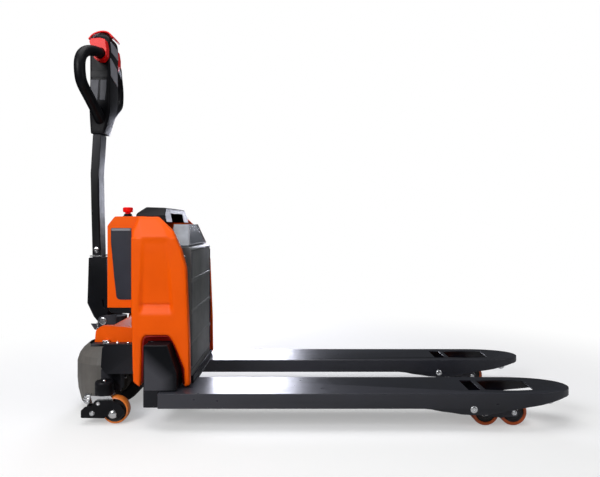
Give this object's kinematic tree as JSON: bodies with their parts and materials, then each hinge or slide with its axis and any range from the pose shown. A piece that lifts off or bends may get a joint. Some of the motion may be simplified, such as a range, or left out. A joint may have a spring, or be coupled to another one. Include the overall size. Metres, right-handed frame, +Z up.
{
  "type": "electric pallet truck",
  "caption": "Walk-behind electric pallet truck with low forks on load rollers, lift-out battery, orange covers and a folding steering tiller.",
  "frame": {"origin": "on the floor, under the middle of the bounding box", "axes": "+X from the operator to the fork tips, +Y to the operator's left, +Z up"},
  "size_m": [1.543, 0.56, 1.2353],
  "materials": {
    "orange_paint": "gloss",
    "black_steel": "satin powder coat",
    "black_plastic": "fine texture",
    "charcoal_plastic": "matte",
    "grey_cover": "matte",
    "cast_iron": "as cast",
    "zinc_plate": "bright zinc",
    "bright_steel": "ground",
    "red_plastic": "gloss",
    "polyurethane": "satin",
    "drive_tyre": "matte",
    "clear_cover": "clear smoked",
    "motor_black": "satin"
  },
  "bodies": {
    "drive_base": {"drive_frame": "black_steel", "lower_hood": "orange_paint", "lift_rod": "bright_steel", "caster_housing_right": "black_plastic", "caster_housing_left": "black_plastic"},
    "chassis": {"fork_right": "black_steel", "fork_left": "black_steel", "heel_right": "black_steel", "heel_left": "black_steel", "bulkhead": "black_steel", "battery_tray": "black_plastic", "side_panel_right": "orange_paint", "side_panel_left": "orange_paint", "rear_cover": "orange_paint", "rear_skirt": "black_plastic", "top_hood": "black_plastic", "hydraulic_unit": "motor_black", "motor_controller": "charcoal_plastic", "lift_cylinder": "cast_iron"},
    "battery": {"battery_case": "charcoal_plastic"},
    "battery_lid": {"battery_cover": "clear_cover"},
    "steering_head": {"drive_cover": "grey_cover", "gearbox": "cast_iron", "drive_motor": "motor_black", "turntable_bearing": "bright_steel", "tiller_base": "black_steel", "pivot_bolt": "zinc_plate"},
    "drive_wheel": {"drive_hub": "cast_iron", "drive_tyre": "drive_tyre"},
    "tiller": {"tiller_bracket": "black_steel", "tiller_tube": "black_steel", "tiller_head": "black_plastic", "grip_right": "black_plastic", "grip_left": "black_plastic"},
    "throttle": {"throttle_right": "red_plastic", "throttle_left": "red_plastic"},
    "reverse_plate": {"belly_button": "red_plastic"},
    "lift_switch": {"lift_button": "charcoal_plastic"},
    "lower_switch": {"lower_button": "charcoal_plastic"},
    "horn_switch": {"horn_button": "orange_paint"},
    "estop": {"estop_button": "red_plastic"},
    "ignition_key": {"key": "black_plastic"},
    "caster_right": {"caster_fork_right": "zinc_plate", "caster_guard_right": "black_plastic"},
    "caster_wheel_right": {"caster_wheel_right": "polyurethane"},
    "roller_arm_right": {"roller_arm_right": "black_steel"},
    "bogie_right": {"bogie_right": "black_steel"},
    "rear_roller_right": {"rear_roller_right": "polyurethane"},
    "front_roller_right": {"front_roller_right": "polyurethane"},
    "push_rod_right": {"push_rod_right": "bright_steel"},
    "entry_roller_right": {"entry_roller_right": "zinc_plate"},
    "caster_left": {"caster_fork_left": "zinc_plate", "caster_guard_left": "black_plastic"},
    "caster_wheel_left": {"caster_wheel_left": "polyurethane"},
    "roller_arm_left": {"roller_arm_left": "black_steel"},
    "bogie_left": {"bogie_left": "black_steel"},
    "rear_roller_left": {"rear_roller_left": "polyurethane"},
    "front_roller_left": {"front_roller_left": "polyurethane"},
    "push_rod_left": {"push_rod_left": "bright_steel"},
    "entry_roller_left": {"entry_roller_left": "zinc_plate"}
  },
  "joints": [
    {"name": "lift", "type": "slide", "parent": "drive_base", "child": "chassis", "axis": [0, 0, 1], "range_m": [-0.02, 0.066]},
    {"name": "steer", "type": "hinge", "parent": "drive_base", "child": "steering_head", "pos_m": [-0.648, 0, 0.105], "axis": [0, 0, 1], "range_deg": [-90, 90]},
    {"name": "drive_spin", "type": "hinge", "parent": "steering_head", "child": "drive_wheel", "pos_m": [-0.648, 0, 0.105], "axis": [0, 1, 0], "continuous": true},
    {"name": "tiller_tilt", "type": "hinge", "parent": "steering_head", "child": "tiller", "pos_m": [-0.683, 0, 0.274], "axis": [0, -1, 0], "range_deg": [0, 57], "stiffness_Nm_per_rad": 30, "springref_deg": -20.05},
    {"name": "throttle_twist", "type": "hinge", "parent": "tiller", "child": "throttle", "pos_m": [-0.68, 0, 1.149], "axis": [0, 1, 0], "range_deg": [-25, 25], "stiffness_Nm_per_rad": 0.6},
    {"name": "reverse_press", "type": "slide", "parent": "tiller", "child": "reverse_plate", "axis": [0, 0, -1], "range_m": [0, 0.003], "stiffness_N_per_m": 900},
    {"name": "lift_press", "type": "slide", "parent": "tiller", "child": "lift_switch", "axis": [1, 0, 0], "range_m": [0, 0.0025], "stiffness_N_per_m": 400},
    {"name": "lower_press", "type": "slide", "parent": "tiller", "child": "lower_switch", "axis": [1, 0, 0], "range_m": [0, 0.0025], "stiffness_N_per_m": 400},
    {"name": "horn_press", "type": "slide", "parent": "tiller", "child": "horn_switch", "axis": [1, 0, 0], "range_m": [0, 0.0025], "stiffness_N_per_m": 400},
    {"name": "estop_press", "type": "slide", "parent": "chassis", "child": "estop", "axis": [0, 0, -1], "range_m": [0, 0.003], "stiffness_N_per_m": 900},
    {"name": "key_turn", "type": "hinge", "parent": "chassis", "child": "ignition_key", "pos_m": [-0.566, 0.12, 0.6225], "axis": [0, 0, -1], "range_deg": [0, 90]},
    {"name": "battery_lift_out", "type": "slide", "parent": "chassis", "child": "battery", "axis": [0, 0, 1], "range_m": [0, 0.3]},
    {"name": "battery_lid_hinge", "type": "hinge", "parent": "battery", "child": "battery_lid", "pos_m": [-0.3745, 0, 0.5301], "axis": [0, 1, 0], "range_deg": [0, 100]},
    {"name": "caster_swivel_right", "type": "hinge", "parent": "drive_base", "child": "caster_right", "pos_m": [-0.619, -0.2, 0.085], "axis": [0, 0, 1], "continuous": true},
    {"name": "caster_spin_right", "type": "hinge", "parent": "caster_right", "child": "caster_wheel_right", "pos_m": [-0.583, -0.2, 0.04], "axis": [0, 1, 0], "continuous": true},
    {"name": "arm_swing_right", "type": "hinge", "parent": "chassis", "child": "roller_arm_right", "pos_m": [0.465, -0.194, 0.065], "axis": [0, 1, 0], "range_deg": [-15.2, 49.5]},
    {"name": "bogie_level_right", "type": "hinge", "parent": "roller_arm_right", "child": "bogie_right", "pos_m": [0.557, -0.194, 0.04], "axis": [0, 1, 0], "range_deg": [-49.5, 15.2]},
    {"name": "rear_roller_spin_right", "type": "hinge", "parent": "bogie_right", "child": "rear_roller_right", "pos_m": [0.516, -0.194, 0.04], "axis": [0, 1, 0], "continuous": true},
    {"name": "front_roller_spin_right", "type": "hinge", "parent": "bogie_right", "child": "front_roller_right", "pos_m": [0.598, -0.194, 0.04], "axis": [0, 1, 0], "continuous": true},
    {"name": "rod_push_right", "type": "slide", "parent": "chassis", "child": "push_rod_right", "axis": [1, 0, 0], "range_m": [-0.006, 0.0192]},
    {"name": "entry_roller_spin_right", "type": "hinge", "parent": "chassis", "child": "entry_roller_right", "pos_m": [0.7056, -0.194, 0.0785], "axis": [0, 1, 0], "continuous": true},
    {"name": "caster_swivel_left", "type": "hinge", "parent": "drive_base", "child": "caster_left", "pos_m": [-0.619, 0.2, 0.085], "axis": [0, 0, 1], "continuous": true},
    {"name": "caster_spin_left", "type": "hinge", "parent": "caster_left", "child": "caster_wheel_left", "pos_m": [-0.583, 0.2, 0.04], "axis": [0, 1, 0], "continuous": true},
    {"name": "arm_swing_left", "type": "hinge", "parent": "chassis", "child": "roller_arm_left", "pos_m": [0.465, 0.194, 0.065], "axis": [0, 1, 0], "range_deg": [-15.2, 49.5]},
    {"name": "bogie_level_left", "type": "hinge", "parent": "roller_arm_left", "child": "bogie_left", "pos_m": [0.557, 0.194, 0.04], "axis": [0, 1, 0], "range_deg": [-49.5, 15.2]},
    {"name": "rear_roller_spin_left", "type": "hinge", "parent": "bogie_left", "child": "rear_roller_left", "pos_m": [0.516, 0.194, 0.04], "axis": [0, 1, 0], "continuous": true},
    {"name": "front_roller_spin_left", "type": "hinge", "parent": "bogie_left", "child": "front_roller_left", "pos_m": [0.598, 0.194, 0.04], "axis": [0, 1, 0], "continuous": true},
    {"name": "rod_push_left", "type": "slide", "parent": "chassis", "child": "push_rod_left", "axis": [1, 0, 0], "range_m": [-0.006, 0.0192]},
    {"name": "entry_roller_spin_left", "type": "hinge", "parent": "chassis", "child": "entry_roller_left", "pos_m": [0.7056, 0.194, 0.0785], "axis": [0, 1, 0], "continuous": true}
  ],
  "couplings": [
    {"joint": "arm_swing_right", "follows": "lift", "rad_per_m": 13},
    {"joint": "bogie_level_right", "follows": "lift", "rad_per_m": -13},
    {"joint": "rod_push_right", "follows": "lift", "ratio": 0.286},
    {"joint": "arm_swing_left", "follows": "lift", "rad_per_m": 13},
    {"joint": "bogie_level_left", "follows": "lift", "rad_per_m": -13},
    {"joint": "rod_push_left", "follows": "lift", "ratio": 0.286}
  ]
}
